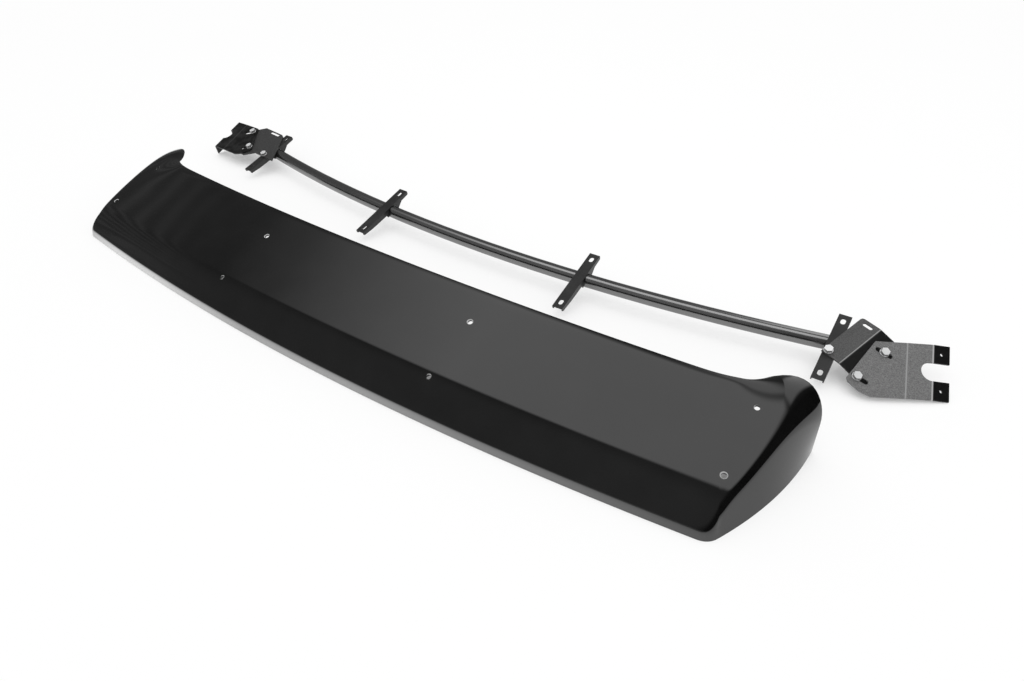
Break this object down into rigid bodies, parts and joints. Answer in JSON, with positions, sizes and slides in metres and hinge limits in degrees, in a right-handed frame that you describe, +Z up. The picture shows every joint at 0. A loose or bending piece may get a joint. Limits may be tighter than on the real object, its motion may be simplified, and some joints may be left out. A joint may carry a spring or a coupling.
{
  "type": "windscreen visor with mounting bar",
  "caption": "Wide gloss-black windscreen visor for a van: a moulded, hollow shell with a turned-down front lip and curved skirts, and the tube bar with straps and bolted end brackets for it.",
  "frame": {"origin": "on the floor, under the middle of the shell and bar together", "axes": "+X to the right end of the bar seen from the front, along the width of the shell; -Y towards the front lip of the shell, +Y towards the bar; +Z up"},
  "size_m": [1.8372, 0.6286, 0.1195],
  "materials": {
    "gloss_black": "gloss",
    "tube_black": "satin",
    "strap_black": "satin",
    "bracket_black": "satin",
    "plate_grey": "textured",
    "zinc": "satin"
  },
  "bodies": {
    "root": {"visor_shell": "gloss_black", "mounting_tube": "tube_black", "left_outer_strap": "strap_black", "left_inner_strap": "strap_black", "right_inner_strap": "strap_black", "right_outer_strap": "strap_black", "left_corner_bracket": "bracket_black", "right_corner_bracket": "bracket_black", "left_side_plate": "plate_grey", "right_side_plate": "plate_grey", "left_end_bolt": "zinc", "right_end_bolt": "zinc", "left_end_washer": "zinc", "right_end_washer": "zinc", "left_end_nut": "zinc", "right_end_nut": "zinc", "left_front_plate_bolt": "zinc", "right_front_plate_bolt": "zinc", "left_rear_plate_bolt": "zinc", "right_rear_plate_bolt": "zinc", "left_front_plate_washer": "zinc", "right_front_plate_washer": "zinc", "left_rear_plate_washer": "zinc", "right_rear_plate_washer": "zinc", "left_front_plate_nut": "zinc", "right_front_plate_nut": "zinc", "left_rear_plate_nut": "zinc", "right_rear_plate_nut": "zinc"}
  },
  "joints": []
}
